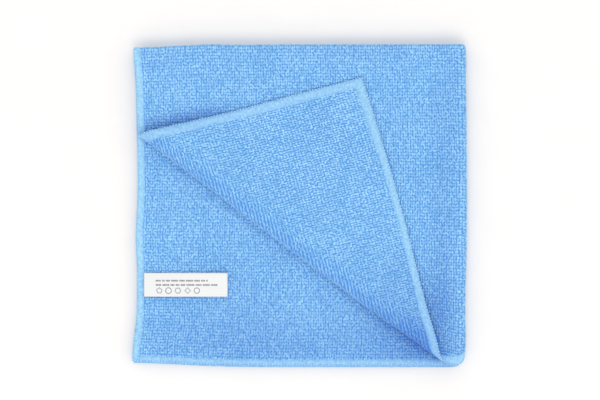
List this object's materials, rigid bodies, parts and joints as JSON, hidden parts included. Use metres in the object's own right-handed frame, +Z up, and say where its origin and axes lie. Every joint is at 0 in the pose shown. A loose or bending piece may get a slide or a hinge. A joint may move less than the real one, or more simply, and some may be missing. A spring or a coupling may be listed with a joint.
{
  "type": "folded microfibre cleaning cloth",
  "caption": "Looped microfibre cleaning cloth, folded in quarters, with one corner turned back to show its second layer and its care label.",
  "frame": {"origin": "on the surface that the cloth lies on, under the middle of the folded stack", "axes": "+Z up, away from the surface; +X from the hems at the left to the folded right edge; +Y from the bottom hems to the folded top edge"},
  "size_m": [0.2034, 0.1964, 0.0185],
  "materials": {
    "terry_microfibre": "looped pile, matt, with a soft sheen",
    "satin_ribbon": "satin, printed"
  },
  "bodies": {
    "root": {"cloth": "terry_microfibre", "care_label": "satin_ribbon"}
  },
  "joints": []
}
